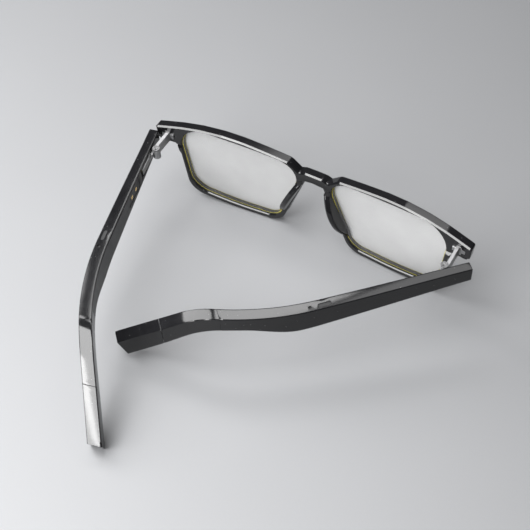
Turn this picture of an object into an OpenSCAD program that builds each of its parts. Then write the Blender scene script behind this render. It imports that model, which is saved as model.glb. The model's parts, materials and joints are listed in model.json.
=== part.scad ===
// Smart audio glasses, standing on a table with both temples partly folded.
// The front is drawn in its own upright frame: X across the face, Y towards the ears,
// Z up, with Z = 0 at the top of the end pieces. Each temple is drawn open, in a frame
// on its hinge axis. placed() stands the whole object on the table.

/* [Front] */
// Overall width of the front
front_w = 142; // [132:1:176]
// Depth of the front, from its front face to its rear face
front_t = 4; // [3.4:0.1:5]
// Radius of the front's rear face, seen from above
face_r = 390; // [300:10:470]
// Height of the end pieces, where the temples meet the front
end_h = 6.8; // [6:0.1:8.2]
// Height of the rim under the lenses
rim_w = 2.6; // [2.1:0.1:3.2]
// Width of the rim at the lens's outer side
side_w = 1.5; // [1.3:0.05:2]
// Height of the bar over the lenses
brow_h = 1.3; // [1:0.1:1.7]

/* [Lenses] */
// Width of each lens opening
lens_w = 51.5; // [44:0.5:54]
// Height of each lens opening
lens_h = 40.2; // [33:0.2:48]
// Distance between the two lens openings
bridge_w = 17.4; // [15:0.2:21]
// How far the lower nasal corner of a lens stands off the upper one
nose_slant = 8.7; // [7.2:0.1:10.5]
// Thickness of the lenses
lens_t = 1.8; // [1.4:0.1:2.1]
// Depth of the groove that holds the lens
groove = 0.5; // [0.4:0.05:0.6]

/* [Nose] */
// Height of the bridge's top below the end pieces' top
bridge_drop = 3.3; // [2.8:0.1:4]
// Height of the bridge
bridge_h = 3.6; // [3:0.1:4.4]
// How far the nose pads stand out behind the rims
pad_depth = 6.4; // [5:0.1:7.7]
// Thickness of the nose pads
pad_t = 2.6; // [2:0.1:3.1]
// Turn of each nose pad away from the middle
pad_splay = 10; // [6:1:14]

/* [Temples] */
// Length of a temple behind its hinge axis, measured straight back
temple_l = 124.8; // [104:0.2:150]
// Width of the temple at the hinge
temple_w = 3.9; // [3.6:0.1:4.7]
// Width of the temple at the tip
tip_w = 5.9; // [5.2:0.1:7]
// Height of the temple at the hinge
hinge_h = 6.9; // [6.3:0.1:8.3]
// Height of the temple at its deepest place, over the speaker
belly_h = 11.3; // [9.5:0.1:13.5]
// Height of the temple at the waist, over the ear
waist_h = 7.4; // [6.4:0.1:8.8]
// Height of the temple at the tip
tip_h = 9.7; // [8.2:0.1:11.6]
// Radius of the inward bend, seen from above
bend_r = 105; // [90:1:126]
// Inward bend of the ear piece
bend_angle = 21; // [17:0.5:25]
// Radius of the downward bend over the ear
ear_r = 25; // [20:1:30]
// Downward bend of the ear piece
ear_angle = 33; // [27:0.5:40]
// Slant of the tip's end face
tip_slant = 22; // [18:1:26]
// Wall of the hollow temple
wall = 0.8; // [0.6:0.05:0.95]

/* [Hinges] */
// Distance of each hinge axis inside the front's end
axis_in = 6.7; // [6:0.1:8]
// Distance of the hinge axes behind the rear face's middle
axis_y = 16.2; // [14.5:0.1:19]
// Radius of the hinge barrel
barrel_r = 1.6; // [1.4:0.05:1.9]
// Radius of the screw's shank
shank_r = 0.7; // [0.5:0.05:0.8]
// Gap from the hinge axis to the temple's inner face
axis_gap = 2; // [1.9:0.05:2.4]
// Fold of the wearer's left temple, from fully open
fold_left = 13.5; // [0:0.5:16]
// Fold of the wearer's right temple, from fully open
fold_right = 45.5; // [30:0.5:60]

/* [Sound] */
// Length of the vent slot in the temple's top
slot_l = 5; // [4.2:0.1:6]
// Width of the vent slot
slot_w = 1.5; // [1.2:0.1:1.8]
// Distance of the slot's middle behind the hinge axis
slot_at = 48; // [44:0.1:50]
// Radius of the microphone hole
mic_r = 0.7; // [0.5:0.05:0.85]
// Length of the speaker
speaker_l = 15; // [12:0.5:18]
// Thickness of the speaker
speaker_t = 2.4; // [1.9:0.1:2.5]

/* [Electronics] */
// Length of the circuit board
board_l = 22; // [18:0.5:26]
// Thickness of the circuit board
board_t = 0.8; // [0.6:0.1:1]
// Length of the battery, measured straight back
battery_l = 19; // [15:0.5:20]
// Radius of a charging contact
contact_r = 0.9; // [0.7:0.05:1.1]
// Distance between the two charging contacts
contact_gap = 4.5; // [3.8:0.1:5.4]

/* [Hidden] */
$fn = 48;

// Clearances.
glue_gap = 0.05;
shank_gap = 0.05;
leaf_gap = 0.15;
end_gap = 0.8;

// Lens opening: its box, and the corners of its outline as [x, z, corner radius].
lens_x0 = bridge_w / 2;
lens_x1 = lens_x0 + lens_w;
lens_top = 1.6;
lens_low = lens_top - lens_h;
lens_mid = (lens_x0 + lens_x1) / 2;
lens_foot = lens_mid + 3.2;
lens_corners = [
    [lens_x0 - 4, lens_top - 3.5, 9],
    [lens_x1 + 1.3, lens_top + 0.2, 11],
    [lens_x1 - 2.9, lens_low + 3.6, 9.7],
    [lens_foot, lens_low, 70],
    [lens_x0 + nose_slant, lens_low + 0.6, 7.5],
];
lens_seat = (front_t - lens_t) / 2;

// Outline of the front's +X half, from the middle of the bridge's top, clockwise.
half_w = front_w / 2;
rim_low = lens_low - rim_w;
bridge_low = -bridge_drop - bridge_h;
end_top = -1.5;
end_low = end_top - end_h;
nasal_high = [lens_x0 - 3.3, -11.8];
nasal_low = [lens_x0 + nose_slant - 1, rim_low + 0.6];
front_corners = [
    [0, -bridge_drop, 0],
    [lens_x0 - 4.9, -bridge_drop, 1],
    [lens_x0 - 2.3, -bridge_drop - 1.3, 1.2],
    [lens_x0 + 2.5, lens_top + brow_h - 3.5, 3],
    [lens_mid + 11.5, lens_top + brow_h + 0.45, 90],
    [half_w, end_top, 1],
    [half_w - 0.6, end_low, 1.4],
    [lens_x1 + side_w + 1.1, end_low - 0.3, 2.4],
    [lens_x1 + side_w + 0.4, end_low - 5.1, 0.8],
    [lens_x1 + side_w - 0.5, end_low - 7.1, 1.2],
    [lens_x1 + side_w - 2.9, lens_low + 1.1, 9],
    [lens_foot, rim_low, 70],
    [nasal_low[0], nasal_low[1], 8],
    [nasal_high[0], nasal_high[1], 7],
    [lens_x0 - 5.2, bridge_low, 2.6],
    [0, bridge_low, 0],
];

// Nose pads, centred on this height.
pad_mid = -21;
pad_half = 11.5;
pad_proud = 0.25;

// Temple, drawn open: stations behind the hinge axis.
temple_front = axis_y - sag(half_w) - end_gap;
outer_off = axis_gap + temple_w;
top_z = -1.6;
top_slope = 0.016;
bow = 0.4;
bend_at = 50;
bend_end = bend_at + bend_r * sin(bend_angle);
ear_at = 86;
ear_end = ear_at + ear_r * sin(ear_angle);
belly_at = 58;
waist_at = 79;
full_tip_at = 112;
cavity_at = 13;
cover_end = 81.5;
ear_seam = 86.4;
cap_seam = 107.6;
tenon_l = 4;
tip_wall = 2;
step = 1.6;

// What is inside a temple and in its openings.
slot_in = 1.8;
mic_at = slot_at + 5.5;
outlet_at = 55;
outlet_l = 8;
outlet_w = 1.6;
mesh_sunk = 0.25;
speaker_at = 43;
battery_at = 98.5;
sensor_l = 22;
contact_at = cavity_at + 9;
contact_z = (top(contact_at) + low(contact_at)) / 2;
land_depth = 0.25;
land_x = inner(contact_at) + land_depth;
land_l = contact_gap + 8;
land_h = 4.4;
magnet_l = 2;
magnet_t = 0.6;

// Hinge: heights from the top down, then its plates.
axis_x = half_w - axis_in;
head_t = 0.6;
head_r = barrel_r - 0.05;
barrel_top = -3.1;
barrel_low = -7.5;
knuckle_top = barrel_top - 1.2;
knuckle_low = barrel_low + 1.2;
arm_t = 1.4;
plate_t = 0.8;
plate_w = 5.4;
plate_h = 2.2;
plate_mid = axis_x + 1.3;
plate_y = sag(plate_mid) - 0.5;
leaf_l = 9.5;
leaf_t = 0.85;
leaf_in = 0.5;
knuckle_play = 0.04;

// Standing on the table: the rims' bottoms and the left tip's lower corner touch it.
tip_low_u = temple_l
    - height(temple_l) * tan(tip_slant) / (1 + tan(tip_slant) * tan(ear_angle));
tip_low = [
    axis_y + tip_low_u * cos(fold_left) + outer(tip_low_u) * sin(fold_left),
    low(tip_low_u),
];
rim_foot = [sag(lens_foot), min([for (p = front_half()) p[1]])];
lean = atan((tip_low[1] - rim_foot[1]) / (tip_low[0] - rim_foot[0]));
lift = rim_foot[0] * sin(lean) - rim_foot[1] * cos(lean);
x_high = max(half_w, corner_x(fold_left));
x_low = -max(half_w, corner_x(fold_right));
y_high = (axis_y + temple_l * cos(fold_left) + outer(temple_l) * sin(fold_left)) * cos(lean)
    + top(temple_l) * sin(lean);
y_low = min([for (p = front_half()) (sag(p[0]) - front_t) * cos(lean) + p[1] * sin(lean)]);

// Distance of the front's rear face behind its middle.
function sag(x) = face_r - sqrt(face_r * face_r - x * x);

// How far a temple's outer front corner reaches from the middle when folded by a.
function corner_x(a) = axis_x + temple_front * sin(a) + outer(-temple_front) * cos(a);

// Eased step from a to b as t goes from 0 to 1.
function ease(a, b, t) = a + (b - a) * (1 - cos(180 * min(1, max(0, t)))) / 2;

// Temple's top edge, height, lower edge, outer face and inner face at station u.
function straight_top(u) = top_z - (u + temple_front) * top_slope;
function top(u) =
    u < ear_at ? straight_top(u)
    : u < ear_end ? straight_top(ear_at) - ear_r + sqrt(ear_r * ear_r - pow(u - ear_at, 2))
    : straight_top(ear_at) - ear_r * (1 - cos(ear_angle)) - (u - ear_end) * tan(ear_angle);
function height(u) =
    u < belly_at ? hinge_h + (belly_h - hinge_h) * (u + temple_front) / (belly_at + temple_front)
    : u < waist_at ? ease(belly_h, waist_h, (u - belly_at) / (waist_at - belly_at))
    : ease(waist_h, tip_h, (u - waist_at) / (full_tip_at - waist_at));
function low(u) = top(u) - height(u);
function outer(u) =
    u < bend_at ? outer_off + bow * sin(90 * max(0, u) / bend_at)
    : u < bend_end ? outer_off + bow - bend_r + sqrt(bend_r * bend_r - pow(u - bend_at, 2))
    : outer_off + bow - bend_r * (1 - cos(bend_angle)) - (u - bend_end) * tan(bend_angle);
function width(u) = temple_w + (tip_w - temple_w) * max(0, u) / temple_l;
function inner(u) = outer(u) - width(u);
function stations(u0, u1) = let (n = ceil((u1 - u0) / step)) [for (i = [0:n]) u0 + (u1 - u0) * i / n];

// Closed outline with each corner [x, y, r] rounded by an arc that touches both sides.
function unit(v) = v / norm(v);
function xy(p) = [p[0], p[1]];
function corner_arc(a, b, c) =
    b[2] == 0 ? [xy(b)]
    : let (
        to_a = unit(xy(a) - xy(b)),
        to_c = unit(xy(c) - xy(b)),
        half = acos(to_a * to_c) / 2,
        reach = b[2] / tan(half),
        centre = xy(b) + unit(to_a + to_c) * b[2] / sin(half),
        start = xy(b) + to_a * reach - centre,
        turn = sign(to_a[0] * to_c[1] - to_a[1] * to_c[0]) * (2 * half - 180),
        n = max(3, ceil(abs(turn) / 7)))
      [for (i = [0:n]) centre + turned(start, turn * i / n)];
function turned(v, a) = [v[0] * cos(a) - v[1] * sin(a), v[0] * sin(a) + v[1] * cos(a)];
function rounded(c) = [
    for (i = [0:len(c) - 1])
        each corner_arc(c[(i + len(c) - 1) % len(c)], c[i], c[(i + 1) % len(c)])
];

// The same convex corners moved outwards by d.
function grown(c, d) = [
    for (i = [0:len(c) - 1])
        let (
            n = len(c),
            a = unit(xy(c[(i + n - 1) % n]) - xy(c[i])),
            b = unit(xy(c[(i + 1) % n]) - xy(c[i])),
            out = -unit(a + b) * d / sin(acos(a * b) / 2))
        [c[i][0] + out[0], c[i][1] + out[1], c[i][2] + d]
];

function open_ends(c) = [for (i = [1:len(c) - 2]) each corner_arc(c[i - 1], c[i], c[i + 1])];
function front_half() = concat([xy(front_corners[0])], open_ends(front_corners),
    [xy(front_corners[len(front_corners) - 1])]);

// Stands what is drawn in the front's frame on the table, with the box centred.
module placed() {
    translate([-(x_high + x_low) / 2, -(y_high + y_low) / 2, lift])
        rotate([-lean, 0, 0])
            children();
}

// Places what is drawn on the open left temple's hinge axis.
module on_left_temple() {
    placed() translate([axis_x, axis_y, 0]) rotate([0, 0, fold_left]) children();
}

module on_right_temple() {
    placed() mirror([1, 0, 0]) translate([axis_x, axis_y, 0]) rotate([0, 0, fold_right]) children();
}

module on_left_front() {
    placed() children();
}

module on_right_front() {
    placed() mirror([1, 0, 0]) children();
}

// Slab of the front's curve, between a and b in front of the rear face.
module face_slab(a, b) {
    translate([0, face_r, -60]) difference() {
        cylinder(r = face_r + b, h = 80, $fn = 720);
        translate([0, 0, -1]) cylinder(r = face_r + a, h = 82, $fn = 720);
    }
}

// Upright plate of an outline in X and Z, from y0 to y1.
module upright(points, y0, y1) {
    translate([0, y1, 0]) rotate([90, 0, 0]) linear_extrude(y1 - y0) polygon(points);
}

module lens_solid(extra, a, b) {
    intersection() {
        upright(rounded(grown(lens_corners, groove + extra)), -front_t - 1, sag(lens_x1 + 4));
        face_slab(a, b);
    }
}

// Point on the nasal side of the rim at height z.
function nasal_x(z) =
    nasal_high[0] + (z - nasal_high[1]) * (nasal_low[0] - nasal_high[0]) / (nasal_low[1] - nasal_high[1]);

// One moulded nose pad: a strip of the nasal rim carried backwards under a round edge.
module nose_pad() {
    pad_r = (pad_depth * pad_depth + pad_half * pad_half) / (2 * pad_depth);
    x_high = nasal_x(pad_mid + pad_half) + pad_proud;
    x_low = nasal_x(pad_mid - pad_half) + pad_proud;
    strip = [
        [x_high, pad_mid + pad_half],
        [x_high + pad_t, pad_mid + pad_half],
        [x_low + pad_t, pad_mid - pad_half],
        [x_low, pad_mid - pad_half],
    ];
    intersection() {
        translate([x_high, 0, 0]) rotate([0, 0, -pad_splay]) translate([-x_high, 0, 0])
            upright(strip, -front_t / 2, pad_depth + 3);
        translate([0, pad_depth - pad_r, pad_mid]) rotate([0, 90, 0])
            cylinder(r = pad_r, h = 60, center = true, $fn = 180);
    }
}

// Cross-shaped hinge plate, let into the rear face of the end piece.
module hinge_plate(extra) {
    z0 = (barrel_top + barrel_low) / 2;
    translate([plate_mid - plate_w / 2 - extra, plate_y - extra, z0 - plate_h / 2 - extra])
        cube([plate_w + 2 * extra, plate_t + extra, plate_h + 2 * extra]);
    translate([plate_mid - plate_h / 2 - extra, plate_y - extra, barrel_low - extra])
        cube([plate_h + 2 * extra, plate_t + extra, barrel_top - barrel_low + 2 * extra]);
}

module front_frame() {
    color([0.06, 0.06, 0.07]) placed() difference() {
        union() {
            intersection() {
                union() for (side = [0, 1]) mirror([side, 0, 0])
                    upright(front_half(), -front_t - 1, sag(half_w) + 1);
                face_slab(0, front_t);
            }
            for (side = [0, 1]) mirror([side, 0, 0]) nose_pad();
        }
        for (side = [0, 1]) mirror([side, 0, 0]) {
            upright(rounded(lens_corners), -front_t - 2, pad_depth + 6);
            lens_solid(glue_gap, lens_seat - glue_gap, lens_seat + lens_t + glue_gap);
            hinge_plate(glue_gap);
        }
    }
}

module lens() {
    color([0.86, 0.87, 0.83, 0.4]) lens_solid(0, lens_seat, lens_seat + lens_t);
}

// Front leaf: cross-shaped plate, arm and the two outer knuckles.
module hinge_front() {
    color("silver") difference() {
        union() {
            hinge_plate(0);
            translate([axis_x + barrel_r - arm_t, plate_y + 0.1, barrel_low])
                cube([arm_t, axis_y - plate_y - 0.1, barrel_top - barrel_low]);
            translate([axis_x, axis_y, barrel_low]) cylinder(r = barrel_r, h = barrel_top - barrel_low);
        }
        translate([axis_x, axis_y, knuckle_low])
            cylinder(r = barrel_r + leaf_gap + 0.3, h = knuckle_top - knuckle_low);
        translate([axis_x, axis_y, barrel_low - 1]) cylinder(r = shank_r + shank_gap, h = 8);
    }
}

module hinge_screw() {
    color("gainsboro") difference() {
        union() {
            translate([axis_x, axis_y, barrel_low + 0.2])
                cylinder(r = shank_r, h = barrel_top - barrel_low - 0.2);
            translate([axis_x, axis_y, barrel_top]) cylinder(r = head_r, h = head_t);
        }
        translate([axis_x, axis_y, barrel_top + head_t]) for (a = [0, 90])
            rotate([0, 0, a + 20]) cube([1.8, 0.4, 0.6], center = true);
    }
}

// Temple leaf: the middle knuckle, and the plate let into the temple's inner face.
module leaf_plate(extra) {
    translate([axis_gap + leaf_in - leaf_t, barrel_r + 0.5 - extra, knuckle_low - 0.4 - extra])
        cube([leaf_t + extra, leaf_l + 2 * extra, knuckle_top - knuckle_low + 0.8 + 2 * extra]);
}

module hinge_temple() {
    span = knuckle_top - knuckle_low - 2 * knuckle_play;
    color("silver") difference() {
        union() {
            translate([0, 0, knuckle_low + knuckle_play]) cylinder(r = barrel_r, h = span);
            translate([axis_gap - 1, 0, knuckle_low + knuckle_play])
                cube([0.95, barrel_r + 0.9, span]);
            leaf_plate(0);
        }
        translate([0, 0, barrel_low - 1]) cylinder(r = shank_r + shank_gap, h = 8);
    }
}

// Solid whose side view and plan view are the two given outlines.
module crossed(side, plan) {
    intersection() {
        translate([30, 0, 0]) rotate([0, -90, 0]) linear_extrude(70)
            polygon([for (p = side) [p[1], p[0]]]);
        translate([0, 0, -60]) linear_extrude(80) polygon(plan);
    }
}

function side_view(u0, u1, in_top, in_low) = concat(
    [for (u = stations(u0, u1)) [u, top(u) - in_top]],
    [for (u = stations(-u1, -u0)) [-u, low(-u) + in_low]]);

// Solid between two stations, drawn in by set amounts from the temple's own faces.
module temple_body(u0, u1, in_top, in_low, in_outer, in_inner) {
    plan = concat(
        [for (u = stations(u0, u1)) [outer(u) - in_outer, u]],
        [for (u = stations(-u1, -u0)) [inner(-u) + in_inner, -u]]);
    crossed(side_view(u0, u1, in_top, in_low), plan);
}

// A thin part that lies gap inside the outer face, between two stations.
module outer_strip(u0, u1, gap, t, in_top, in_low) {
    plan = concat(
        [for (u = stations(u0, u1)) [outer(u) - gap, u]],
        [for (u = stations(-u1, -u0)) [outer(-u) - gap - t, -u]]);
    crossed(side_view(u0, u1, in_top, in_low), plan);
}

// A thin part that lies gap inside the inner face, between two stations.
module inner_strip(u0, u1, gap, t, in_top, in_low) {
    plan = concat(
        [for (u = stations(u0, u1)) [inner(u) + gap + t, u]],
        [for (u = stations(-u1, -u0)) [inner(-u) + gap, -u]]);
    crossed(side_view(u0, u1, in_top, in_low), plan);
}

module vent_slot(extra, depth) {
    r = slot_w / 2 + extra;
    translate([outer(slot_at) - slot_in, slot_at, top(slot_at) - depth]) {
        for (end = [-1, 1]) translate([0, end * (slot_l - slot_w) / 2, 0]) cylinder(r = r, h = depth + 1);
        translate([-r, -(slot_l - slot_w) / 2, 0]) cube([2 * r, slot_l - slot_w, depth + 1]);
    }
}

module outlet_slot(extra) {
    mid = (outer(outlet_at) + inner(outlet_at)) / 2;
    translate([mid - outlet_w / 2 - extra, outlet_at - outlet_l / 2 - extra, low(outlet_at) - 3])
        cube([outlet_w + 2 * extra, outlet_l + 2 * extra, 6]);
}

module temple_shell() {
    color([0.05, 0.05, 0.06]) difference() {
        temple_body(-temple_front, ear_seam, 0, 0, 0, 0);
        temple_body(cavity_at, cover_end, wall, wall, wall, -3);
        temple_body(cover_end - 1, ear_seam + 0.01, wall, wall, wall, wall);
        leaf_plate(glue_gap);
        vent_slot(0, 2);
        translate([outer(mic_at) - slot_in, mic_at, top(mic_at) - 2])
            cylinder(r = mic_r, h = 3, $fn = 32);
        outlet_slot(0);
    }
}

// Cover over the temple's inner side, with a sunk flat land for the charging plug and
// two holes for the charging contacts.
module along_contacts() {
    for (side = [-1, 1]) translate([land_x, contact_at + side * contact_gap / 2, contact_z])
        rotate([0, 90, 0]) children();
}

module inner_cover() {
    color([0.09, 0.09, 0.1]) difference() {
        inner_strip(cavity_at + glue_gap, cover_end - glue_gap, 0, wall, wall + glue_gap,
            wall + glue_gap);
        translate([land_x - 3, contact_at - land_l / 2, contact_z - land_h / 2])
            cube([3, land_l, land_h]);
        along_contacts() translate([0, 0, -2]) cylinder(r = contact_r + glue_gap, h = 6);
    }
}

// Ear housing: hollow battery box with a tenon that slides into the shell.
module ear_housing() {
    color([0.05, 0.05, 0.06]) difference() {
        union() {
            temple_body(ear_seam, cap_seam, 0, 0, 0, 0);
            temple_body(ear_seam - tenon_l, ear_seam + 1, wall + glue_gap, wall + glue_gap,
                wall + glue_gap, wall + glue_gap);
        }
        temple_body(ear_seam - tenon_l + 1, cap_seam + 0.01, 2 * wall, 2 * wall, 2 * wall, 2 * wall);
    }
}

module tip_cap() {
    color([0.05, 0.05, 0.06]) difference() {
        temple_body(cap_seam + glue_gap, temple_l, 0, 0, 0, 0);
        temple_body(cap_seam, temple_l - tip_h * tan(tip_slant) - tip_wall, 2 * wall, 2 * wall,
            2 * wall, 2 * wall);
        translate([0, temple_l, top(temple_l)]) rotate([-tip_slant, 0, 0])
            translate([-60, 0, -40]) cube([80, 40, 60]);
    }
}

module battery() {
    gap = 2 * wall + 0.15;
    color([0.72, 0.74, 0.76])
        temple_body(battery_at, battery_at + battery_l, gap + 0.5, gap + 0.5, gap, gap);
}

module circuit_board() {
    color([0.05, 0.3, 0.16]) outer_strip(cavity_at + 1.5, cavity_at + 1.5 + board_l, wall + 0.4,
        board_t, wall + 0.4, wall + 0.4);
}

module touch_sensor() {
    color([0.75, 0.5, 0.2]) outer_strip(cavity_at + 2, cavity_at + 2 + sensor_l, wall + 0.03, 0.2,
        wall + 0.8, wall + 0.8);
}

module speaker() {
    color([0.3, 0.3, 0.32]) outer_strip(speaker_at, speaker_at + speaker_l, wall + 0.1, speaker_t,
        wall + 1.6, wall + 1);
}

module vent_mesh() {
    color([0.35, 0.35, 0.36]) intersection() {
        vent_slot(-0.03, 0.6);
        temple_body(slot_at - slot_l, slot_at + slot_l, mesh_sunk, 0, 0, 0);
    }
}

module outlet_mesh() {
    color([0.35, 0.35, 0.36]) intersection() {
        outlet_slot(-0.03);
        temple_body(outlet_at - outlet_l, outlet_at + outlet_l, 4, mesh_sunk, 0, 0);
        translate([-20, 0, low(outlet_at) - 3]) cube([40, 100, 3 + wall]);
    }
}

module microphone() {
    color("goldenrod")
        translate([outer(mic_at) - wall - 0.1 - 2, mic_at - 1.4, top(mic_at) - wall - 0.15 - 1])
            cube([2, 2.8, 1]);
}

module charge_contacts() {
    color("gold") along_contacts() translate([0, 0, -0.05]) cylinder(r = contact_r, h = wall - land_depth);
}

module charge_magnets() {
    color([0.6, 0.6, 0.62]) for (side = [-1, 1])
        translate([inner(contact_at) + wall + 0.15, contact_at + side * (contact_gap + 2.2) - magnet_l / 2,
            contact_z - 1.5])
                cube([magnet_t, magnet_l, 3]);
}

front_frame();
on_left_front() lens();  // left_lens
on_right_front() lens();  // right_lens
on_left_front() hinge_front();  // left_hinge_front
on_right_front() hinge_front();  // right_hinge_front
on_left_front() hinge_screw();  // left_hinge_screw
on_right_front() hinge_screw();  // right_hinge_screw
on_left_temple() hinge_temple();  // left_hinge_temple
on_right_temple() hinge_temple();  // right_hinge_temple
on_left_temple() temple_shell();  // left_temple_shell
on_right_temple() temple_shell();  // right_temple_shell
on_left_temple() inner_cover();  // left_inner_cover
on_right_temple() inner_cover();  // right_inner_cover
on_left_temple() ear_housing();  // left_ear_housing
on_right_temple() ear_housing();  // right_ear_housing
on_left_temple() tip_cap();  // left_tip_cap
on_right_temple() tip_cap();  // right_tip_cap
on_left_temple() battery();  // left_battery
on_right_temple() battery();  // right_battery
on_left_temple() circuit_board();  // left_circuit_board
on_right_temple() circuit_board();  // right_circuit_board
on_left_temple() speaker();  // left_speaker
on_right_temple() speaker();  // right_speaker
on_left_temple() vent_mesh();  // left_vent_mesh
on_right_temple() vent_mesh();  // right_vent_mesh
on_left_temple() outlet_mesh();  // left_outlet_mesh
on_right_temple() outlet_mesh();  // right_outlet_mesh
on_left_temple() microphone();  // left_microphone
on_right_temple() microphone();  // right_microphone
on_left_temple() touch_sensor();  // left_touch_sensor
on_right_temple() touch_sensor();  // right_touch_sensor
on_left_temple() charge_contacts();  // left_charge_contacts
on_right_temple() charge_contacts();  // right_charge_contacts
on_left_temple() charge_magnets();  // left_charge_magnets
on_right_temple() charge_magnets();  // right_charge_magnets
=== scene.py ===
# %% [markdown]
# # Smart glasses
# These are black spectacles with clear lenses and thick hollow temples that hold a speaker,
# a board and a battery. We load the engineered model first and build the looks around it,
# so every visible piece sits exactly where the engineering says and is parented to its part.

# %% Load the engineered model
import json
import math

import bmesh
import bpy
from mathutils import Matrix, Vector


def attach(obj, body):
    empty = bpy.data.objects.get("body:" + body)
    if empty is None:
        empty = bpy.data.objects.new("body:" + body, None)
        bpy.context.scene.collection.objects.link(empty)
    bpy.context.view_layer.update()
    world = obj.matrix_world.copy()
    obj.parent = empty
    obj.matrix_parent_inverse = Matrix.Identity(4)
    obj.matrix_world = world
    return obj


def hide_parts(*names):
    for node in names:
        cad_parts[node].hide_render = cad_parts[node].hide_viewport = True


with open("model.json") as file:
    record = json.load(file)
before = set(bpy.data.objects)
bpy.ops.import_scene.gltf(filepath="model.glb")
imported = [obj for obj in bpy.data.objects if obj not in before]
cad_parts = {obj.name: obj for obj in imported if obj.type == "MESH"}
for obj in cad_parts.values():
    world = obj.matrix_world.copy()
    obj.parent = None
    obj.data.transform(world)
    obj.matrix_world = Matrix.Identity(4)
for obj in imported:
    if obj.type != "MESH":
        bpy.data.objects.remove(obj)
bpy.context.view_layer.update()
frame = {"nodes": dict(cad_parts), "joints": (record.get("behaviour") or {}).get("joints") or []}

# %% [markdown]
# ## Where things are
# The two hinge pins tell us how the glasses stand: their middle is a fixed point, and their
# tilt is how far the frame leans on the table. We draw the front upright in millimetres and
# each temple open along its own pin, and one matrix per part stands it on the table.

# %% Standing matrices
PIN_BACK = 16.2
PIN_MIDDLE = -5.3
FOLD = {"left": 13.5, "right": 45.5}

pins = {joint["name"].split("_")[0]: joint for joint in frame["joints"]}
pin_at = {side: Vector(pins[side]["pos_m"]) for side in ("left", "right")}
pin_out = (pin_at["left"].x - pin_at["right"].x) * 500
lean = math.atan2(pins["left"]["axis"][1], pins["left"]["axis"][2])
stand = (
    Matrix.Translation((pin_at["left"] + pin_at["right"]) / 2)
    @ Matrix.Rotation(-lean, 4, "X")
    @ Matrix.Scale(0.001, 4)
    @ Matrix.Translation((0, -PIN_BACK, -PIN_MIDDLE))
)
flip = Matrix.Scale(-1, 4, (1, 0, 0))


def front_place(side):
    return stand @ flip if side == "right" else stand


def temple_place(side):
    turn = Matrix.Rotation(math.radians(FOLD[side]), 4, "Z")
    return front_place(side) @ Matrix.Translation((pin_out, PIN_BACK, 0)) @ turn


print("lean", round(math.degrees(lean), 3), "pins at", round(pin_out, 2))

# %% [markdown]
# ## Camera, floor and light
# Glossy black plastic shows nothing but what it mirrors, so the lamps are the finish here.
# Three soft boxes hang overhead: a broad one over the temple tips, and two small ones over
# the front and its corner. One stands low at the back and one at the side. Their places
# follow the reflections they make, then were trimmed. The floor is plain and pale.

# %% Camera
camera_data = bpy.data.cameras.new("camera")
camera_data.lens = 76.81
camera_data.sensor_width = 36
camera = bpy.data.objects.new("camera", camera_data)
bpy.context.collection.objects.link(camera)
to_right = Vector((-0.86807, -0.49638, -0.00858))
to_up = Vector((0.37106, -0.6602, 0.65303))
to_back = to_right.cross(to_up)
camera.matrix_world = Matrix.Translation((-0.14397, 0.22426, 0.35688)) @ Matrix(
    (to_right, to_up, to_back)
).transposed().to_4x4()
bpy.context.scene.camera = camera
print("camera looks along", [round(-v, 3) for v in to_back])


# %% Soft boxes
def soft_box(name, at, aim, size, radiance):
    """A soft box that glows evenly: radiance times its area and pi is its power."""
    data = bpy.data.lights.new(name, "AREA")
    data.shape = "RECTANGLE"
    data.size, data.size_y = size
    data.energy = radiance * math.pi * size[0] * size[1]
    lamp = bpy.data.objects.new(name, data)
    bpy.context.collection.objects.link(lamp)
    back = (Vector(at) - Vector(aim)).normalized()
    wide = Vector((-back.y, back.x, 0)).normalized() if back.z < 0.999 else Vector((1, 0, 0))
    tall = back.cross(wide)
    lamp.matrix_world = Matrix.Translation(at) @ Matrix((wide, tall, back)).transposed().to_4x4()
    print(name, round(data.energy, 2), "W")


soft_box("box_over_tips", (0.13, 0.38, 0.6), (0.13, 0.38, 0), (0.4, 0.76), 18)
soft_box("box_over_front", (0.03, -0.36, 0.6), (0.03, -0.36, 0), (0.24, 0.22), 4)
soft_box("box_over_corner", (0.235, -0.26, 0.6), (0.235, -0.26, 0), (0.13, 0.2), 12)
soft_box("box_low_back", (0.26, 0.66, 0.43), (0, 0, 0.03), (0.6, 0.26), 20)
soft_box("box_side", (0.57, -0.03, 0.53), (0.02, 0, 0.03), (0.45, 0.46), 12)

# %% World and view
world = bpy.data.worlds.new("studio")
world.use_nodes = True
world.node_tree.nodes["Background"].inputs["Color"].default_value = (0.9, 0.95, 1, 1)
world.node_tree.nodes["Background"].inputs["Strength"].default_value = 0.06
bpy.context.scene.world = world
bpy.context.scene.view_settings.view_transform = "Standard"

# %% [markdown]
# ## Writing finishes as sums
# A finish is a network of nodes. The small class below wraps one output of a node, so that
# adding or multiplying two of them makes the Math node for us, and one method makes any
# other node: its settings come first, then the values or wires of its sockets.


# %% Wires and finishes
class Wire:
    """An output of a node. Sums and products of wires and numbers add Math nodes."""

    def __init__(self, finish, socket):
        self.finish = finish
        self.socket = socket

    def math(self, operation, first, second):
        return self.finish.node("Math", {"operation": operation}, {0: first, 1: second})

    def __add__(self, other):
        return self.math("ADD", self, other)

    def __sub__(self, other):
        return self.math("SUBTRACT", self, other)

    def __rsub__(self, other):
        return self.math("SUBTRACT", other, self)

    def __mul__(self, other):
        return self.math("MULTIPLY", self, other)

    def __gt__(self, other):
        return self.math("GREATER_THAN", self, other)

    def __lt__(self, other):
        return self.math("LESS_THAN", self, other)

    __radd__ = __add__
    __rmul__ = __mul__


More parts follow.
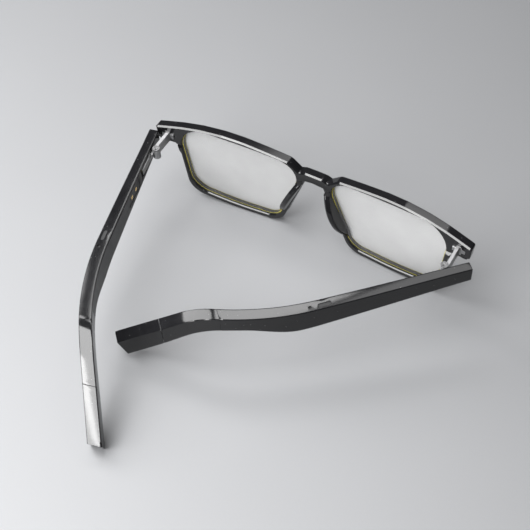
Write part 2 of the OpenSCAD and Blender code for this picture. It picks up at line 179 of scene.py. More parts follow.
class Finish:
    """A material under construction."""

    def __init__(self, name):
        self.material = bpy.data.materials.new(name)
        self.material.use_nodes = True
        self.nodes = self.material.node_tree.nodes
        self.links = self.material.node_tree.links
        self.nodes.clear()
        self.place = self.node("TexCoord", output="Object")

    def node(self, kind, settings=None, sockets=None, output=0):
        made = self.nodes.new("ShaderNode" + kind)
        for key, value in (settings or {}).items():
            setattr(made, key, value)
        for key, value in (sockets or {}).items():
            if isinstance(value, Wire):
                self.links.new(value.socket, made.inputs[key])
            else:
                made.inputs[key].default_value = value
        return None if output is None else Wire(self, made.outputs[output])

    def noise(self, scale, detail=2, at=None):
        """Cloudy noise, 0 to 1, with scale features to a metre."""
        sockets = {"Vector": at or self.place, "Scale": scale, "Detail": detail}
        return self.node("TexNoise", None, sockets)

    def stretched(self, scale, turn=(0, 0, 0)):
        return self.node("Mapping", None, {0: self.place, "Rotation": turn, "Scale": scale})

    def blend(self, factor, first, second):
        """Mix of two colours."""
        mix = self.nodes.new("ShaderNodeMix")
        mix.data_type = "RGBA"
        for key, value in ((0, factor), (6, first), (7, second)):
            if isinstance(value, Wire):
                self.links.new(value.socket, mix.inputs[key])
            elif key == 0:
                mix.inputs[key].default_value = value
            else:
                mix.inputs[key].default_value = (*value, 1)
        return Wire(self, mix.outputs[2])

    def bump(self, height, distance, strength=1.0):
        sockets = {"Height": height, "Distance": distance, "Strength": strength}
        return self.node("Bump", None, sockets)

    def show(self, sockets):
        surface = self.node("BsdfPrincipled", None, sockets)
        self.node("OutputMaterial", None, {"Surface": surface}, None)
        return self.material


# %% [markdown]
# ## Black gloss
# The frame and the temples are black nylon, moulded and then polished. It is nearly black,
# mirrors the lamps sharply, and at close range shows a slight moulded waviness, the faint
# hairlines of a wiping cloth and a few specks of dust. Its index of refraction is lower than
# real nylon's: that keeps the sides dark under lamps strong enough for a pale floor.


# %% Dust and hairlines
def dust_specks(finish, cells, size, share):
    """1 on small round specks, 0 elsewhere, in a share of the cells."""
    sockets = {"Vector": finish.place, "Scale": cells}
    distance = finish.node("TexVoronoi", None, sockets, "Distance")
    lot = finish.node("TexVoronoi", None, sockets, "Color")
    lot = finish.node("SeparateColor", None, {"Color": lot}, "Red")
    return (distance < size) * (lot < share)


def hairlines(finish, along, turn, share):
    """1 on long thin lines, 0 elsewhere."""
    at = finish.stretched((along, 9000, 9000), turn)
    return finish.noise(1, 1, at) > 1 - share


# %% The gloss itself
def make_black_gloss():
    finish = Finish("black_gloss")
    haze = finish.noise(160, 3)
    wipes = finish.noise(1, 2, finish.stretched((60, 1100, 1100), (0, 0, 0.7)))
    specks = dust_specks(finish, 620, 0.06, 0.5)
    lines = hairlines(finish, 120, (0.3, 0, 0.5), 0.26)
    tone = finish.blend(haze, (0.003, 0.003, 0.0034), (0.006, 0.006, 0.0066))
    waves = finish.noise(240, 1)
    return finish.show({
        "Base Color": finish.blend(specks * 0.5, tone, (0.3, 0.3, 0.3)),
        "Roughness": 0.055 + haze * 0.05 + wipes * 0.04 + specks * 0.3 + lines * 0.03,
        "IOR": 1.38,
        "Normal": finish.bump(waves + lines * -0.02, 0.00002, 0.35),
    })


black_gloss = make_black_gloss()

# %% [markdown]
# ## Satin, steel and the small parts
# The inner covers have a fine sparked grain, so they look satin. The hinges are stamped
# stainless steel, polished along one direction. The vents are closed by a woven steel mesh,
# which is painted near black: painted shade of the recessed vents.


# %% Satin
def make_black_satin():
    finish = Finish("black_satin")
    grain = finish.noise(5200, 2)
    haze = finish.noise(220, 3)
    specks = dust_specks(finish, 620, 0.05, 0.4)
    tone = finish.blend(haze, (0.005, 0.005, 0.0055), (0.009, 0.009, 0.01))
    return finish.show({
        "Base Color": finish.blend(specks * 0.4, tone, (0.4, 0.4, 0.4)),
        "Roughness": 0.34 + haze * 0.12,
        "IOR": 1.5,
        "Normal": finish.bump(grain, 0.00003, 0.35),
    })


black_satin = make_black_satin()


# %% Steel
def make_steel(name, dark, light, rough, brush=(500, 9000, 9000)):
    finish = Finish(name)
    brushed = finish.noise(1, 2, finish.stretched(brush))
    stain = finish.noise(900, 3)
    lines = hairlines(finish, 400, (0, 0.4, 1.1), 0.3)
    return finish.show({
        "Base Color": finish.blend(stain, dark, light),
        "Metallic": 1,
        "Roughness": rough + brushed * 0.12 + stain * 0.08 + lines * 0.1,
        "Normal": finish.bump(brushed + lines * -0.3, 0.00001, 0.5),
    })


FOIL_GRAIN = (900, 900, 900)

hinge_steel = make_steel("hinge_steel", (0.24, 0.24, 0.245), (0.36, 0.36, 0.365), 0.32)
screw_steel = make_steel("screw_steel", (0.1, 0.1, 0.102), (0.2, 0.2, 0.203), 0.34)
gold_plate = make_steel("gold", (0.78, 0.5, 0.16), (0.98, 0.72, 0.33), 0.14)
magnet_nickel = make_steel("magnet", (0.5, 0.5, 0.5), (0.66, 0.65, 0.62), 0.2)
battery_foil = make_steel("battery_foil", (0.6, 0.61, 0.62), (0.78, 0.79, 0.8), 0.3, FOIL_GRAIN)


# %% Woven mesh
def make_mesh_painted_shade():
    finish = Finish("mesh_steel")
    wires = []
    for turn in (0.6, 0.6 + math.pi / 2):
        sockets = {"Vector": finish.stretched((1, 1, 1), (0, 0, turn)), "Scale": 620}
        wires.append(finish.node("TexWave", {"bands_direction": "X"}, sockets, "Fac"))
    weave = finish.node("Math", {"operation": "MAXIMUM"}, {0: wires[0], 1: wires[1]})
    dirt = finish.noise(1500, 2)
    # The wire tones are painted near black: painted shade of the recessed vents, not the steel's own
    # colour.
    tone = finish.blend(weave, (0.002, 0.002, 0.002), (0.02, 0.02, 0.021))
    return finish.show({
        "Base Color": finish.blend(dirt * 0.4, tone, (0.03, 0.03, 0.03)),
        "Metallic": weave * 0.5,
        "Roughness": 0.7 + dirt * 0.2,
        "Normal": finish.bump(weave, 0.0001, 0.8),
    })


mesh_steel = make_mesh_painted_shade()


# %% Board, speaker case and sensor film
def make_moulded(name, dark, light, rough, scale=1800, depth=0.00002):
    finish = Finish(name)
    grain = finish.noise(scale, 3)
    cloud = finish.noise(260, 2)
    return finish.show({
        "Base Color": finish.blend(cloud * 0.6 + grain * 0.4, dark, light),
        "Roughness": rough + grain * 0.15,
        "Normal": finish.bump(grain, depth, 0.5),
    })


board_green = make_moulded("board_green", (0.01, 0.09, 0.04), (0.03, 0.22, 0.1), 0.3)
dark_plastic = make_moulded("dark_plastic", (0.04, 0.04, 0.045), (0.09, 0.09, 0.1), 0.5)
sensor_film = make_moulded("sensor_film", (0.5, 0.24, 0.04), (0.75, 0.42, 0.1), 0.28)

# %% [markdown]
# ## Lens glass
# The lenses are clear with a faint coating. What lies behind stays sharp, so we let rays
# pass straight through and add a mirror on top whose strength grows towards grazing angles,
# as on real glass. Light that runs inside the lens comes out yellowish at its edge. A faint
# glow stands in for that light: no real edge glows by itself.


# %% Clear lens and its edge
def make_clear_lens():
    finish = Finish("clear_lens")
    smears = finish.noise(90, 4)
    specks = dust_specks(finish, 500, 0.05, 0.5)
    gloss = finish.node("BsdfPrincipled", None, {
        "Base Color": finish.blend(smears, (0.5, 0.5, 0.5), (0.6, 0.6, 0.6)),
        "Roughness": 0.04 + smears * 0.05,
        "IOR": 1.6,
    })
    clear = finish.node("BsdfTransparent", None, {"Color": (0.99, 0.99, 0.99, 1)})
    mirror = finish.node("Fresnel", None, {"IOR": 1.5})
    share = mirror * 0.75 + smears * 0.012 + specks * 0.3
    mixed = finish.node("MixShader", None, {0: share, 1: clear, 2: gloss})
    finish.node("OutputMaterial", None, {"Surface": mixed}, None)
    return finish.material


def make_lens_edge_glow():
    finish = Finish("lens_edge")
    cloud = finish.noise(700, 3)
    return finish.show({
        # The yellow base and the faint emission are a painted glow of the light that runs inside the
        # lens.
        "Base Color": finish.blend(cloud, (0.2, 0.18, 0.02), (0.32, 0.28, 0.05)),
        "Roughness": 0.18 + cloud * 0.2,
        "Emission Color": finish.blend(cloud, (0.42, 0.36, 0.06), (0.55, 0.48, 0.1)),
        "Emission Strength": 0.1,
        "Normal": finish.bump(cloud, 0.00003, 0.4),
    })


clear_lens = make_clear_lens()
lens_edge = make_lens_edge_glow()


# %% Floor
FLOOR_DARK = (0.12, 0.122, 0.126)
FLOOR_LIGHT = (0.14, 0.142, 0.146)


def make_floor():
    finish = Finish("floor")
    cloud = finish.noise(7, 3)
    grain = finish.noise(1400, 2)
    return finish.show({
        "Base Color": finish.blend(cloud * 0.5 + grain * 0.5, FLOOR_DARK, FLOOR_LIGHT),
        "Roughness": 0.55 + grain * 0.1,
        "Normal": finish.bump(grain, 0.0001, 0.15),
    })


floor_mesh = bpy.data.meshes.new("floor")
sheet = bmesh.new()
bmesh.ops.create_grid(sheet, x_segments=1, y_segments=1, size=3)
sheet.to_mesh(floor_mesh)
sheet.free()
floor_mesh.materials.append(make_floor())
floor = bpy.data.objects.new("floor", floor_mesh)
bpy.context.collection.objects.link(floor)

# %% [markdown]
# ## From a shape to a piece
# Each piece is drawn as a bmesh in millimetres. The helper below stands it on the table,
# turns its faces outwards, marks the sharp edges and hands it to the body it moves with.
# A Weighted Normal modifier keeps broad faces flat, so the light bends only in the bevels.


# %% Finishing a piece
def make_piece(name, shape, place, materials, body, nodes, sharp=40):
    shape.transform(place)
    bmesh.ops.remove_doubles(shape, verts=shape.verts, dist=1e-6)
    bmesh.ops.recalc_face_normals(shape, faces=shape.faces)
    limit = math.radians(sharp)
    for edge in shape.edges:
        edge.smooth = edge.calc_face_angle(0) < limit
    for face in shape.faces:
        face.smooth = True
    mesh = bpy.data.meshes.new(name)
    shape.to_mesh(mesh)
    shape.free()
    for material in materials:
        mesh.materials.append(material)
    piece = bpy.data.objects.new(name, mesh)
    bpy.context.collection.objects.link(piece)
    weighted = piece.modifiers.new("flat_faces", "WEIGHTED_NORMAL")
    weighted.keep_sharp = True
    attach(piece, body)
    if nodes:
        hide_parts(*nodes)
    print(name, len(mesh.polygons), "faces")


# %% Joining and cutting
def carve(shape, tool, operation="DIFFERENCE"):
    """A new shape: the first one cut by the tool, or joined with it."""
    objects = []
    for part in (shape, tool):
        bmesh.ops.recalc_face_normals(part, faces=part.faces)
        mesh = bpy.data.meshes.new("work")
        part.to_mesh(mesh)
        part.free()
        objects.append(bpy.data.objects.new("work", mesh))
        bpy.context.collection.objects.link(objects[-1])
    change = objects[0].modifiers.new("carve", "BOOLEAN")
    change.operation = operation
    change.solver = "EXACT"
    change.object = objects[1]
    depsgraph = bpy.context.evaluated_depsgraph_get()
    done = bpy.data.meshes.new_from_object(objects[0].evaluated_get(depsgraph))
    result = bmesh.new()
    result.from_mesh(done)
    bpy.data.meshes.remove(done)
    for work in objects:
        bpy.data.meshes.remove(work.data)
    return result


def bevel(shape, edges, offset, segments=2):
    bmesh.ops.bevel(
        shape, geom=list(edges), offset=offset, offset_type="OFFSET", segments=segments,
        profile=0.5, affect="EDGES", clamp_overlap=False, material=-1,
    )


def block(low, high):
    """A plain box between two corners, for cutting."""
    shape = bmesh.new()
    bmesh.ops.create_cube(shape, size=1)
    low, high = Vector(low), Vector(high)
    bmesh.ops.scale(shape, vec=high - low, verts=shape.verts)
    bmesh.ops.translate(shape, vec=(low + high) / 2, verts=shape.verts)
    return shape


# %% [markdown]
# ## The temple's lines
# A temple is one long bar. Seen from the side it deepens over the speaker, narrows at the
# waist, bends down over the ear and ends in a slanted tip. Seen from above it turns gently
# inwards. We write these lines as functions of u, the distance behind the hinge pin.

# %% Lines seen from the side
FRONT_END = -8.87
TIP_END = 124.8
BEND_TOP = 86
EAR_RADIUS = 25
EAR_TURN = math.radians(33)
TIP_SLANT = math.radians(22)
EAR_SEAM = 86.4
CAP_SEAM = 107.6
SEAM_GAP = 0.05
WALL = 0.8
HINGE_HIGH, BELLY_HIGH, WAIST_HIGH, TIP_HIGH = 6.9, 11.3, 7.4, 9.7
BELLY_BACK, WAIST_BACK = 58, 79


def ease(start, end, t):
    return start + (end - start) * (1 - math.cos(math.pi * min(1, max(0, t)))) / 2


def top(u):
    straight = -1.6 - (min(u, BEND_TOP) - FRONT_END) * 0.016
    if u < BEND_TOP:
        return straight
    bend_end = BEND_TOP + EAR_RADIUS * math.sin(EAR_TURN)
    if u < bend_end:
        return straight - EAR_RADIUS + math.sqrt(EAR_RADIUS**2 - (u - BEND_TOP) ** 2)
    return straight - EAR_RADIUS * (1 - math.cos(EAR_TURN)) - (u - bend_end) * math.tan(EAR_TURN)


def height(u):
    if u < BELLY_BACK:
        return HINGE_HIGH + 4.4 * (u - FRONT_END) / (BELLY_BACK - FRONT_END)
    if u < WAIST_BACK:
        return ease(BELLY_HIGH, WAIST_HIGH, (u - BELLY_BACK) / 21)
    return ease(WAIST_HIGH, TIP_HIGH, (u - WAIST_BACK) / 33)


# %% Lines seen from above
BEND_RADIUS = 105
BEND_TURN = math.radians(21)


def outer(u):
    if u < 50:
        return 5.9 + 0.4 * math.sin(math.pi / 2 * max(0, u) / 50)
    bend_end = 50 + BEND_RADIUS * math.sin(BEND_TURN)
    if u < bend_end:
        return 6.3 - BEND_RADIUS + math.sqrt(BEND_RADIUS**2 - (u - 50) ** 2)
    turned = BEND_RADIUS * (1 - math.cos(BEND_TURN))
    return 6.3 - turned - (u - bend_end) * math.tan(BEND_TURN)


def inner(u):
    return outer(u) - 3.9 - 2 * max(0, u) / TIP_END


print("temple heights", [round(height(u), 1) for u in (0, 58, 79, 112)])


# %% [markdown]
# ## A bar along those lines
# We start from a cube, cut its long edges into many rings and slide each ring onto the
# lines. Each long edge keeps a number, so that we can bevel it by its own amount: the outer
# top edge is crisp, the inner one has a wider chamfer, and the two lower ones are soft.

# %% The bar
OUTER_TOP, OUTER_LOW, INNER_TOP, INNER_LOW = 3, 2, 1, 0


def temple_bar(start, end, inset=(0, 0, 0, 0), ring=1.6, low_end=None):
    """A bar between two stations, drawn in from the top, the bottom and the two sides."""
    from_top, from_low, from_outer, from_inner = inset
    shape = bmesh.new()
    bmesh.ops.create_cube(shape, size=1)
    line = shape.verts.layers.int.new("line")
    for vert in shape.verts:
        vert[line] = 2 * (vert.co.x > 0) + (vert.co.z > 0)
    long_edges = [
        edge for edge in shape.edges if abs(edge.verts[0].co.y - edge.verts[1].co.y) > 0.5
    ]
    cuts = max(2, round((end - start) / ring)) - 1
    bmesh.ops.subdivide_edges(shape, edges=long_edges, cuts=cuts, use_grid_fill=True)
    for vert in shape.verts:
        is_top, is_outer = vert.co.z > 0, vert.co.x > 0
        vert[line] = 2 * is_outer + is_top
        last = end if is_top or low_end is None else low_end
        u = start + (vert.co.y + 0.5) * (last - start)
        x = outer(u) - from_outer if is_outer else inner(u) + from_inner
        z = top(u) - from_top if is_top else top(u) - height(u) + from_low
        vert.co = (x, u, z)
    return shape


def soften_bar(shape, start_edge, end_edge, outer_top=0.3, inner_top=0.6, low=0.7):
    """Bevels the four long edges, then the edges round the two ends."""
    line = shape.verts.layers.int["line"]
    for number, offset, segments in (
        (OUTER_TOP, outer_top, 1), (INNER_TOP, inner_top, 2),
        (OUTER_LOW, low, 4), (INNER_LOW, low, 4),
    ):
        edges = [edge for edge in shape.edges if all(vert[line] == number for vert in edge.verts)]
        bevel(shape, edges, offset, segments)
    by_place = sorted(shape.faces, key=lambda face: face.calc_center_median().y)
    for face, offset in ((by_place[0], start_edge), (by_place[-1], end_edge)):
        if offset:
            bevel(shape, face.edges, offset, 2)
    return shape


# %% [markdown]
# ## Temple shell
# The shell runs from the hinge to the ear. It is hollow, open on the inner side for the
# cover and at the back for the ear housing. A rounded slot and a round hole in the top let
# sound out and in, and a longer slot underneath points at the ear. We carve them with
# Boolean modifiers and keep only the result.

# %% Openings
SLOT_BACK = 48
MIC_BACK = 53.5
OPENING_IN = 1.8
OUTLET_BACK = 55


def slot_tool(x, u, low, high, width, length):
    """A rounded slot, standing up, for cutting."""
    shape = block((x - width / 2, u - length / 2, low), (x + width / 2, u + length / 2, high))
    upright = [edge for edge in shape.edges if abs(edge.verts[0].co.z - edge.verts[1].co.z) > 0.1]
    bevel(shape, upright, width * 0.499, 8)
    return shape


def hole_tool(x, u, low, high, radius):
    shape = bmesh.new()
    bmesh.ops.create_cone(
        shape, cap_ends=True, segments=32, radius1=radius, radius2=radius, depth=high - low
    )
    bmesh.ops.translate(shape, vec=(x, u, (low + high) / 2), verts=shape.verts)
    return shape


# %% Shells
def make_shell(side):
    shape = soften_bar(temple_bar(FRONT_END, EAR_SEAM), 0.25, 0.12)
    shape = carve(shape, temple_bar(13, 81.5, (WALL, WALL, WALL, -3)))
    shape = carve(shape, temple_bar(80.5, EAR_SEAM + 0.5, (WALL, WALL, WALL, WALL)))
    shape = carve(shape, block((1.4, 2.05, -6.75), (2.55, 11.65, -3.85)))
    x = outer(SLOT_BACK) - OPENING_IN
    shape = carve(shape, slot_tool(x, SLOT_BACK, top(SLOT_BACK) - 2, 2, 1.5, 5))
    x = outer(MIC_BACK) - OPENING_IN
    shape = carve(shape, hole_tool(x, MIC_BACK, top(MIC_BACK) - 2, 2, 0.7))
    x = (outer(OUTLET_BACK) + inner(OUTLET_BACK)) / 2
    low = top(OUTLET_BACK) - height(OUTLET_BACK)
    outlet = block((x - 0.8, OUTLET_BACK - 4, low - 3), (x + 0.8, OUTLET_BACK + 4, low + 3))
    shape = carve(shape, outlet)
    make_piece(
        side + "_shell", shape, temple_place(side), [black_gloss], side + "_temple",
        [side + "_temple_shell"],
    )


def make_shade_membrane(side):
    """A dark membrane across the microphone hole, darkened as painted shade of the hole."""
    x = outer(MIC_BACK) - OPENING_IN
    shape = hole_tool(x, MIC_BACK, top(MIC_BACK) - 0.72, top(MIC_BACK) - 0.6, 0.69)
    make_piece(
        side + "_mic_membrane", shape, temple_place(side), [mesh_steel], side + "_temple", [],
    )


for side in ("left", "right"):
    make_shell(side)
    make_shade_membrane(side)

# %% [markdown]
# ## Ear housing and tip cap
# Behind a fine seam comes the ear housing with the battery, and behind a second seam the
# cap that closes the tip. Both are the same bar again, hollow, with tiny bevels at the seams
# that catch the light, as two moulded parts that meet do.


# %% Housings and caps
def make_ear_parts(side):
    shape = soften_bar(temple_bar(EAR_SEAM, CAP_SEAM, ring=0.9), 0.12, 0.15)
    inside = WALL + SEAM_GAP
    tenon = temple_bar(EAR_SEAM - 4, EAR_SEAM + 1, (inside,) * 4)
    shape = carve(shape, tenon, "UNION")
    shape = carve(shape, temple_bar(EAR_SEAM - 3, CAP_SEAM + 0.5, (2 * WALL,) * 4, ring=0.9))
    make_piece(
        side + "_housing", shape, temple_place(side), [black_gloss], side + "_temple",
        [side + "_ear_housing"],
    )
    drop = TIP_HIGH * math.tan(TIP_SLANT) / (1 + math.tan(TIP_SLANT) * math.tan(EAR_TURN))
    cap = temple_bar(CAP_SEAM + SEAM_GAP, TIP_END, ring=0.9, low_end=TIP_END - drop)
    cap = soften_bar(cap, 0.15, 0.35)
    cap = carve(cap, temple_bar(CAP_SEAM - 1, TIP_END - 5.9, (2 * WALL,) * 4, ring=0.9))
    make_piece(
        side + "_cap", cap, temple_place(side), [black_gloss], side + "_temple",
        [side + "_tip_cap"],
    )


for side in ("left", "right"):
    make_ear_parts(side)

# %% [markdown]
# ## The front's outline
# The front is drawn flat, as its maker would draw it: a few corner points, each rounded by
# a vertex bevel. A round of radius r eats r times the tangent of half the turn from each
# side. Long edges are then cut into short ones, because the front will be bent later.

# %% Corner points as x, z and radius
HALF_OUTLINE = [
    (0, -3.3, 0), (3.8, -3.3, 1), (6.4, -4.6, 1.2), (11.2, -0.6, 3), (45.95, 3.35, 90),
    (71, -1.5, 1), (70.4, -8.3, 1.4), (62.8, -8.6, 2.4), (62.1, -13.4, 0.8), (61.2, -15.4, 1.2),
    (58.8, -37.5, 9), (37.65, -41.2, 70), (16.4, -40.6, 8), (5.4, -11.8, 7), (3.5, -6.9, 2.6),
    (0, -6.9, 0),
]
LENS_OUTLINE = [
    (4.7, -1.9, 9), (61.5, 1.8, 11), (57.3, -35, 9.7), (37.65, -38.6, 70), (17.4, -38, 7.5),
]
OPENING_X, OPENING_Z = 34.5, -18
FACE_RADIUS = 390
FRONT_DEPTH = 4


def sag(x):
    return FACE_RADIUS - math.sqrt(FACE_RADIUS**2 - x * x)


def flat_outline(corners, step):
    """A flat face in the X Z plane whose corners are rounded and whose edges are short."""
    shape = bmesh.new()
    verts = [shape.verts.new((x, 0, z)) for x, z, radius in corners]
    shape.faces.new(verts)
    for index, (x, z, radius) in enumerate(corners):
        if radius:
            before = Vector(corners[index - 1][:2]) - Vector((x, z))
            after = Vector(corners[(index + 1) % len(corners)][:2]) - Vector((x, z))
            turn = math.pi - before.angle(after)
            bmesh.ops.bevel(
                shape, geom=[verts[index]], offset=radius * math.tan(turn / 2),
                offset_type="OFFSET", segments=max(3, round(turn * 10)), profile=0.5,
                affect="VERTICES",
                clamp_overlap=False, material=-1,
            )
    for edge in list(shape.edges):
        cuts = int(edge.calc_length() / step)
        if cuts:
            bmesh.ops.subdivide_edges(shape, edges=[edge], cuts=cuts)
    return shape


# %% [markdown]
# ## The front's body
# We pull every point of the outline inwards onto the nearest point of the lens opening.
# That makes a ring of narrow quads which bends cleanly. The ring gets its thickness, the
# curve of the face and its mirrored half, and last the bevels: broad along the rear, where
# the polished edge draws a white line, and fine elsewhere.


# %% Ring between the outline and the opening
def nearest_on(points, target):
    best = None
    for index, point in enumerate(points):
        other = points[index - 1]
        along = other - point
        share = min(1, max(0, (target - point).dot(along) / along.length_squared))
        spot = point + along * share
        if best is None or (spot - target).length < (best - target).length:
            best = spot
    return best


def opening_points():
    flat = flat_outline(LENS_OUTLINE, 60)
    loop = [loop.vert.co.copy() for loop in flat.faces[:][0].loops]
    flat.free()
    return loop


def front_half_ring():
    shape = flat_outline(HALF_OUTLINE, 1.0)
    opening = opening_points()
    whole = shape.faces[:][0]
    grown = bmesh.ops.extrude_edge_only(shape, edges=list(whole.edges))
    for vert in (item for item in grown["geom"] if isinstance(item, bmesh.types.BMVert)):
        vert.co = nearest_on(opening, vert.co)
    bmesh.ops.delete(shape, geom=[whole], context="FACES_ONLY")
    pulled = [
        vert for vert in shape.verts if (nearest_on(opening, vert.co) - vert.co).length < 0.01
    ]
    bmesh.ops.remove_doubles(shape, verts=pulled, dist=0.4)
    return shape


# %% Thickness, curve and mirror
def front_body():
    shape = front_half_ring()
    bmesh.ops.remove_doubles(shape, verts=shape.verts, dist=0.02)
    back = bmesh.ops.extrude_face_region(shape, geom=list(shape.faces), use_keep_orig=True)
    moved = [item for item in back["geom"] if isinstance(item, bmesh.types.BMVert)]
    bmesh.ops.translate(shape, vec=(0, -FRONT_DEPTH, 0), verts=moved)
    middle = [face for face in shape.faces if all(abs(vert.co.x) < 1e-4 for vert in face.verts)]
    bmesh.ops.delete(shape, geom=middle, context="FACES")
    for vert in shape.verts:
        vert.co.y += sag(vert.co.x)
    everything = list(shape.verts) + list(shape.edges) + list(shape.faces)
    bmesh.ops.mirror(shape, geom=everything, axis="X", merge_dist=0.001)
    bmesh.ops.remove_doubles(shape, verts=shape.verts, dist=0.001)
    bmesh.ops.recalc_face_normals(shape, faces=shape.faces)
    return shape


# %% Bevels along the rims
def rim_edges(shape, rear, inside):
    """The sharp edges of the rear or front face, on the openings or on the outline."""
    found = []
    for edge in shape.edges:
        if not edge.is_manifold or edge.calc_face_angle(0) < math.radians(60):
            continue
        a, b = (vert.co for vert in edge.verts)
        on_face = all((co.y - sag(co.x) > -FRONT_DEPTH / 2) == rear for co in (a, b))
        if on_face and (a - b).length < 3:
            faces = [face for face in edge.link_faces if abs(face.normal.y) < 0.7]
            middle = (a + b) / 2
            centre = Vector((math.copysign(OPENING_X, middle.x), middle.y, OPENING_Z))
            towards = faces and faces[0].normal.dot(centre - middle) > 0
            if bool(towards) == inside and faces:
                found.append(edge)
    return found


# %% Smooth front
def is_within(points, target):
    """Whether a flat point lies inside a closed loop, by counting the edges to its right."""
    within = False
    for index, point in enumerate(points):
        other = points[index - 1]
        if (point.z > target.z) != (other.z > target.z):
            share = (target.z - point.z) / (other.z - point.z)
            if point.x + (other.x - point.x) * share > target.x:
                within = not within
    return within


def put_back_strays(shape):
    """Puts every point that strayed into an opening or past the outline back onto it."""
    opening = opening_points()
    flat_front = flat_outline(HALF_OUTLINE, 1.0)
    outline = [loop.vert.co.copy() for loop in flat_front.faces[:][0].loops]
    flat_front.free()
    strays = 0
    for vert in shape.verts:
        side = math.copysign(1, vert.co.x)
        flat = Vector((abs(vert.co.x), 0, vert.co.z))
        if flat.x < 0.3:
            continue
        in_opening = is_within(opening, flat)
        if not in_opening and is_within(outline, flat):
            continue
        spot = nearest_on(opening if in_opening else outline, flat)
        if (spot - flat).length > 0.02:
            y = vert.co.y - sag(flat.x)
            vert.co = (side * spot.x, y + sag(spot.x), spot.z)
            strays += 1
    print("points put back", strays)


def make_front():
    shape = front_body()
    for rear, inside, offset, segments in (
        (True, False, 0.6, 1), (True, True, 0.38, 1),
        (False, False, 0.45, 3), (False, True, 0.25, 2),
    ):
        edges = rim_edges(shape, rear, inside)
        print("rim edges", rear, inside, len(edges))
        bevel(shape, edges, offset, segments)
    put_back_strays(shape)
    return shape


front_shape = make_front()

# %% [markdown]
# ## Nose pads
# The pads are moulded in one with the rims: a strip of the nasal rim carried backwards
# under a round edge and splayed a little. We bend a subdivided cube into that strip, round
# its rear edges, and let its foot sink into the rim.

# %% Pads
PAD_MIDDLE, PAD_HALF, PAD_DEEP, PAD_THICK = -21, 11.5, 6.4, 2.6


def nasal_line(z):
    return 5.4 + (z + 11.8) * 11 / (-40.6 + 11.8)


def nose_pad():
    """A strip of the nasal rim, carried back under an arc that runs out smoothly."""
    radius = (PAD_DEEP**2 + PAD_HALF**2) / (2 * PAD_DEEP)
    reach = PAD_HALF + 1.8
    shape = bmesh.new()
    bmesh.ops.create_cube(shape, size=1)
    upright = [edge for edge in shape.edges if abs(edge.verts[0].co.z - edge.verts[1].co.z) > 0.5]
    bmesh.ops.subdivide_edges(shape, edges=upright, cuts=39, use_grid_fill=True)
    pivot = nasal_line(PAD_MIDDLE + PAD_HALF) + 0.25
    for vert in shape.verts:
        across, rise = vert.co.x + 0.5, vert.co.z * 2 * reach
        rise = min(rise, PAD_HALF - 0.9)  # the upper end stays under the bridge
        arc = PAD_DEEP - radius + math.sqrt(radius**2 - rise**2)
        back = (arc + math.hypot(arc, 1)) / 2 - 0.04 if vert.co.y > 0 else -2
        z = PAD_MIDDLE + rise
        vert.co = (nasal_line(z) + 0.25 + across * PAD_THICK - pivot, back, z)
    rear = [vert.co.y > -1 for vert in shape.verts]
    shape.verts.index_update()
    edges = [
        edge for edge in shape.edges
        if all(rear[vert.index] for vert in edge.verts)
        and abs(edge.verts[0].co.z - edge.verts[1].co.z) > 0.01
    ]
    bevel(shape, edges, 0.85, 5)
    bmesh.ops.rotate(shape, matrix=Matrix.Rotation(math.radians(-10), 3, "Z"), verts=shape.verts)
    bmesh.ops.translate(shape, vec=(pivot, 0, 0), verts=shape.verts)
    return shape


for side in ("left", "right"):
    make_piece(
        side + "_pad", nose_pad(), front_place(side), [black_gloss], "front", ["front_frame"],
    )

# %% [markdown]
# ## Pockets for the hinge plates
# Each hinge plate is cross-shaped and let into the rear face. Its pocket is the same cross,
# a hair larger. Next to it the rim has a small slanted facet that flashes when light hits it.

# %% Pockets and facets
PLATE_MIDDLE = 65.6


def hinge_pocket():
    back = sag(PLATE_MIDDLE) - 0.5
    gap = SEAM_GAP
    wide = block(
        (PLATE_MIDDLE - 2.7 - gap, back - gap, -6.4 - gap),
        (PLATE_MIDDLE + 2.7 + gap, back + 3, -4.2 + gap),
    )
    tall = block(
        (PLATE_MIDDLE - 1.1 - gap, back - gap, -7.5 - gap),
        (PLATE_MIDDLE + 1.1 + gap, back + 3, -3.1 + gap),
    )
    return carve(wide, tall, "UNION")


def rim_facet():
    shape = block((-1.7, 0, -3), (1.7, 1.6, 0))
    turn = Matrix.Rotation(math.radians(133.5), 3, "X")
    bmesh.ops.rotate(shape, matrix=turn, verts=shape.verts)
    bmesh.ops.translate(shape, vec=(61.7, sag(61.4) + 0.02, -11.9), verts=shape.verts)
    return shape


for sign in (1, -1):
    for tool in (hinge_pocket(), rim_facet()):
        bmesh.ops.scale(tool, vec=(sign, 1, 1), verts=tool.verts)
        front_shape = carve(front_shape, tool)

make_piece(
    "front", front_shape, stand, [black_gloss], "front", ["front_frame"], sharp=38
)

# %% [markdown]
# ## Lenses
# A lens is a slab with the opening's outline, bent like the front. Only across the face is
# it curved, so cutting it into upright strips is enough for a clean bend. A narrow band
# round its rim gets the yellowish edge glow: painted light standing in for light that runs inside the
# lens.

# %% Slabs
LENS_THICK, LENS_SEAT, EDGE_BAND = 1.8, 1.1, 0.34


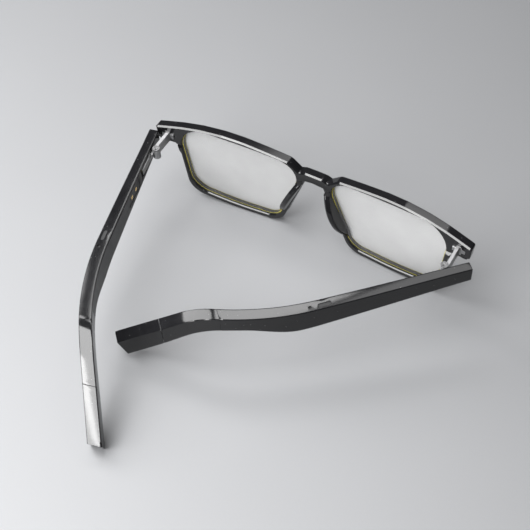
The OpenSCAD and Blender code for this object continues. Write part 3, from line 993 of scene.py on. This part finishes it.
def make_lens(side):
    shape = flat_outline(LENS_OUTLINE, 2)
    about = Matrix.Translation((-OPENING_X, 0, -OPENING_Z))
    bmesh.ops.scale(shape, vec=(1.003, 1, 1.004), space=about, verts=shape.verts)
    rim = bmesh.ops.inset_region(
        shape, faces=list(shape.faces), thickness=EDGE_BAND, use_even_offset=True,
        use_boundary=True,
    )
    for face in rim["faces"]:
        face.material_index = 1
    for step in range(-13, 14):
        geometry = list(shape.verts) + list(shape.edges) + list(shape.faces)
        bmesh.ops.bisect_plane(
            shape, geom=geometry, dist=1e-4, plane_co=(OPENING_X + 2 * step, 0, 0), plane_no=(1, 0, 0)
        )
    back = bmesh.ops.extrude_face_region(shape, geom=list(shape.faces), use_keep_orig=True)
    moved = [item for item in back["geom"] if isinstance(item, bmesh.types.BMVert)]
    bmesh.ops.translate(shape, vec=(0, -LENS_THICK, 0), verts=moved)
    bmesh.ops.recalc_face_normals(shape, faces=shape.faces)
    for face in shape.faces:
        if abs(face.normal.y) < 0.5:
            face.material_index = 1
    for vert in shape.verts:
        vert.co.y += sag(vert.co.x) - LENS_SEAT
    make_piece(
        side + "_glass", shape, front_place(side), [clear_lens, lens_edge], "front",
        [side + "_lens"],
    )


for side in ("left", "right"):
    make_lens(side)

# %% [markdown]
# ## Hinges and covers
# The hinge leaves, the screws and the inner covers have the right shape already, but their
# edges are knife-sharp, and real stamped or moulded edges never are. We copy each mesh, weld
# it, melt its triangles together and bevel every sharp edge a little.


# %% Softened copies
def soften_node(node, name, material, body, offset, segments=2):
    shape = bmesh.new()
    shape.from_mesh(frame["nodes"][node].data)
    bmesh.ops.remove_doubles(shape, verts=shape.verts, dist=1e-6)
    bmesh.ops.dissolve_limit(
        shape, angle_limit=math.radians(0.6), verts=shape.verts, edges=shape.edges
    )
    bmesh.ops.recalc_face_normals(shape, faces=shape.faces)
    edges = [edge for edge in shape.edges if edge.is_manifold and edge.calc_face_angle(0) > 0.6]
    bmesh.ops.bevel(
        shape, geom=edges, offset=offset, offset_type="OFFSET", segments=segments, profile=0.5,
        affect="EDGES", clamp_overlap=True, material=-1,
    )
    for face in shape.faces:
        face.material_index = 0
    make_piece(name, shape, Matrix(), [material], body, [node])


for side in ("left", "right"):
    temple = side + "_temple"
    for node, name, material, body, slot, offset in (
        ("_hinge_front", "_front_leaf", hinge_steel, "front", "hinge_steel", 0.00015),
        ("_hinge_screw", "_screw", screw_steel, "front", "hinge_steel", 0.0001),
        ("_hinge_temple", "_temple_leaf", hinge_steel, temple, "hinge_steel", 0.00012),
        ("_inner_cover", "_cover", black_satin, temple, "black_satin", 0.00015),
    ):
        soften_node(side + node, side + name, material, body, offset)

# %% [markdown]
# ## Finishes of the remaining parts
# The meshes, contacts and everything inside keep their engineered shape and get a finish.

# %% Assign finishes
FINISH_OF = {
    "vent_mesh": mesh_steel,
    "outlet_mesh": mesh_steel,
    "charge_contacts": gold_plate,
    "microphone": gold_plate,
    "battery": battery_foil,
    "circuit_board": board_green,
    "speaker": dark_plastic,
    "touch_sensor": sensor_film,
    "charge_magnets": magnet_nickel,
    "front_frame": black_gloss,
    "lens": clear_lens,
    "hinge_front": hinge_steel,
    "hinge_screw": hinge_steel,
    "hinge_temple": hinge_steel,
    "temple_shell": black_gloss,
    "inner_cover": black_satin,
    "ear_housing": black_gloss,
    "tip_cap": black_gloss,
}
for name, node in frame["nodes"].items():
    part = name.removeprefix("left_").removeprefix("right_")
    for slot in node.material_slots:
        slot.material = FINISH_OF[part]
print("finished", len(frame["nodes"]), "nodes")

# %% Update the view layer
bpy.context.view_layer.update()
